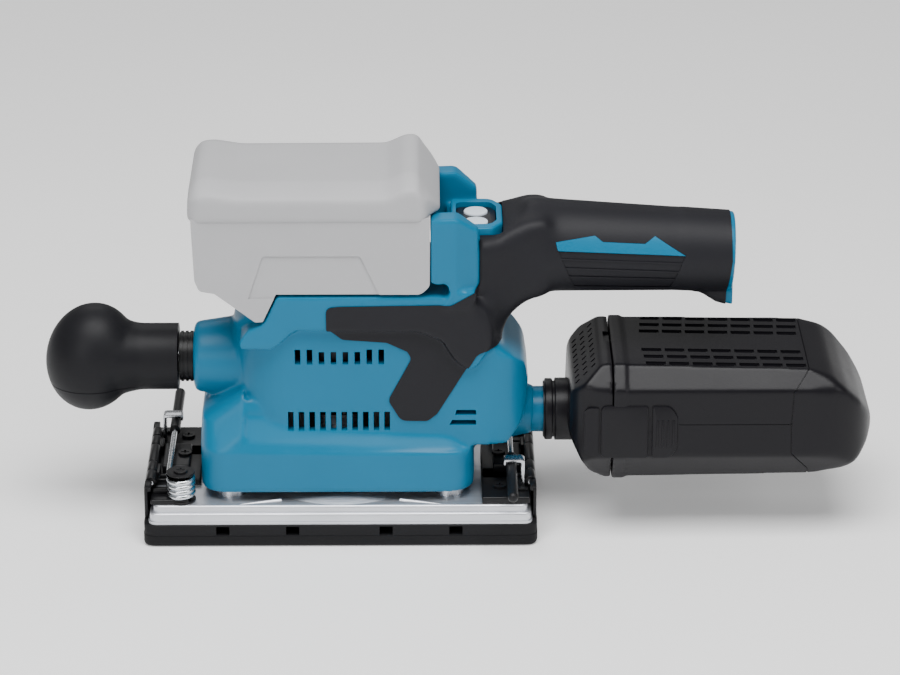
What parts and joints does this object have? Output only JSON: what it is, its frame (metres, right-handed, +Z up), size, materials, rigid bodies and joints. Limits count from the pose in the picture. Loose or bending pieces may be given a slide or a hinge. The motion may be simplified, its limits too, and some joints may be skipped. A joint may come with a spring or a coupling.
{
  "type": "orbital finishing sander",
  "caption": "Cordless clamp-type sheet sander: rectangular orbiting pad, teal housing with rear handle and front knob, slide-on battery and pull-off dust box.",
  "frame": {"origin": "centre of the sanding pad's underside", "axes": "+X along the tool from the front knob to the dust box, +Y to the far side, +Z up from the work"},
  "size_m": [0.3903, 0.1292, 0.1794],
  "materials": {
    "pad_foam": "matt fine-pored foam",
    "pad_backing": "matt with a fine moulded texture",
    "base_aluminium": "bare, satin, machined edges",
    "cup_steel": "zinc plated, satin",
    "machine_steel": "ground and lightly oiled",
    "black_screws": "blackened",
    "clamp_black": "satin black",
    "zinc_wire": "bright zinc",
    "black_vinyl": "soft satin",
    "teal_plastic": "fine spark-eroded satin",
    "grip_rubber": "soft matt overmould",
    "panel_black": "semi-gloss label",
    "button_grey": "translucent satin",
    "board_green": "lacquered board",
    "controller_black": "potted box with fins",
    "terminal_brass": "tinned brass",
    "lamination_steel": "stacked laminations",
    "copper_wire": "enamelled wire",
    "magnet_grey": "coated",
    "seat_aluminium": "die cast",
    "leg_rubber": "matt rubber",
    "collar_black": "satin",
    "knob_rubber": "soft satin",
    "fan_black": "glass filled",
    "weight_metal": "sintered",
    "battery_plastic": "fine satin texture",
    "battery_button_grey": "satin",
    "cell_sleeve": "shrink sleeve",
    "dust_black": "fine texture",
    "latch_black": "satin",
    "filter_fabric": "felted"
  },
  "bodies": {
    "housing": {"housing_left": "teal_plastic", "housing_right": "teal_plastic", "grip_left": "grip_rubber", "grip_right": "grip_rubber", "end_cap": "teal_plastic", "panel_bezel": "teal_plastic", "panel_face": "panel_black", "switch_board": "board_green", "controller": "controller_black", "terminal_block": "controller_black", "terminals": "terminal_brass", "battery_rails": "teal_plastic", "stator_core": "lamination_steel", "windings": "copper_wire", "upper_bearing": "machine_steel", "lower_bearing": "machine_steel", "motor_seat": "seat_aluminium", "rubber_legs": "leg_rubber", "housing_screws": "black_screws", "knob_stud": "machine_steel", "neck_collar": "collar_black", "dust_spout": "teal_plastic"},
    "rotor": {"motor_shaft": "machine_steel", "rotor_core": "lamination_steel", "magnets": "magnet_grey", "cooling_fan": "fan_black", "counterweight": "weight_metal"},
    "pad": {"pad_foam": "pad_foam", "pad_backing": "pad_backing", "base_plate": "base_aluminium", "leg_cups": "cup_steel", "bearing_retainer": "machine_steel", "pad_bearing": "machine_steel", "retainer_screws": "black_screws", "front_holder": "clamp_black", "rear_holder": "clamp_black", "front_hook": "cup_steel", "rear_hook": "cup_steel", "holder_screws": "black_screws", "coil_posts": "black_screws", "hinge_pins": "cup_steel"},
    "front_jaw": {"front_jaw": "clamp_black"},
    "rear_jaw": {"rear_jaw": "clamp_black"},
    "front_lever": {"front_lever": "zinc_wire", "front_lever_sleeve": "black_vinyl"},
    "rear_lever": {"rear_lever": "zinc_wire", "rear_lever_sleeve": "black_vinyl"},
    "knob": {"front_knob": "knob_rubber"},
    "battery": {"battery_lower_case": "battery_plastic", "battery_upper_case": "battery_plastic", "battery_cells": "cell_sleeve", "battery_board": "board_green"},
    "battery_button": {"battery_button": "battery_button_grey"},
    "power_button": {"power_button": "button_grey"},
    "speed_button": {"speed_button": "button_grey"},
    "dust_box": {"dust_case_front": "dust_black"},
    "dust_case": {"dust_case_rear": "dust_black", "filter_bag": "filter_fabric"},
    "dust_latch_left": {"dust_latch_left": "latch_black"},
    "dust_latch_right": {"dust_latch_right": "latch_black"}
  },
  "joints": [
    {"name": "rotor_spin", "type": "hinge", "parent": "housing", "child": "rotor", "pos_m": [-0.0014, 0, 0.07], "axis": [0, 0, 1], "continuous": true},
    {"name": "pad_orbit", "type": "hinge", "parent": "rotor", "child": "pad", "pos_m": [0, 0, 0.027], "axis": [0, 0, 1], "continuous": true},
    {"name": "front_lever_hinge", "type": "hinge", "parent": "pad", "child": "front_lever", "pos_m": [-0.0748, -0.036, 0.028], "axis": [0, 0, -1], "range_deg": [0, 7]},
    {"name": "front_jaw_hinge", "type": "hinge", "parent": "pad", "child": "front_jaw", "pos_m": [-0.0894, 0, 0.0258], "axis": [0, 1, 0], "range_deg": [0, 12]},
    {"name": "rear_lever_hinge", "type": "hinge", "parent": "pad", "child": "rear_lever", "pos_m": [0.0748, 0.036, 0.028], "axis": [0, 0, -1], "range_deg": [0, 7]},
    {"name": "rear_jaw_hinge", "type": "hinge", "parent": "pad", "child": "rear_jaw", "pos_m": [0.0894, 0, 0.0258], "axis": [0, -1, 0], "range_deg": [0, 12]},
    {"name": "knob_turn", "type": "hinge", "parent": "housing", "child": "knob", "pos_m": [-0.09, 0, 0.0777], "axis": [1, 0, 0], "continuous": true},
    {"name": "battery_slide", "type": "slide", "parent": "housing", "child": "battery", "axis": [-1, 0, 0], "range_m": [0, 0.06]},
    {"name": "battery_release", "type": "slide", "parent": "battery", "child": "battery_button", "axis": [0, 0, -1], "range_m": [0, 0.0035], "stiffness_N_per_m": 300},
    {"name": "power_press", "type": "slide", "parent": "housing", "child": "power_button", "axis": [0, 0, -1], "range_m": [0, 0.001], "stiffness_N_per_m": 400},
    {"name": "speed_press", "type": "slide", "parent": "housing", "child": "speed_button", "axis": [0, 0, -1], "range_m": [0, 0.001], "stiffness_N_per_m": 400},
    {"name": "dust_box_pull", "type": "slide", "parent": "housing", "child": "dust_box", "axis": [1, 0, 0], "range_m": [0, 0.03]},
    {"name": "dust_case_pull", "type": "slide", "parent": "dust_box", "child": "dust_case", "axis": [1, 0, 0], "range_m": [0, 0.04]},
    {"name": "left_latch_flex", "type": "hinge", "parent": "dust_box", "child": "dust_latch_left", "pos_m": [0.122, -0.0393, 0.055], "axis": [0, 0, -1], "range_deg": [0, 8], "stiffness_Nm_per_rad": 0.5},
    {"name": "right_latch_flex", "type": "hinge", "parent": "dust_box", "child": "dust_latch_right", "pos_m": [0.122, 0.0393, 0.055], "axis": [0, 0, 1], "range_deg": [0, 8], "stiffness_Nm_per_rad": 0.5}
  ],
  "couplings": [
    {"joint": "pad_orbit", "follows": "rotor_spin", "ratio": -1},
    {"joint": "front_jaw_hinge", "follows": "front_lever_hinge", "ratio": 1.7},
    {"joint": "rear_jaw_hinge", "follows": "rear_lever_hinge", "ratio": 1.7}
  ]
}
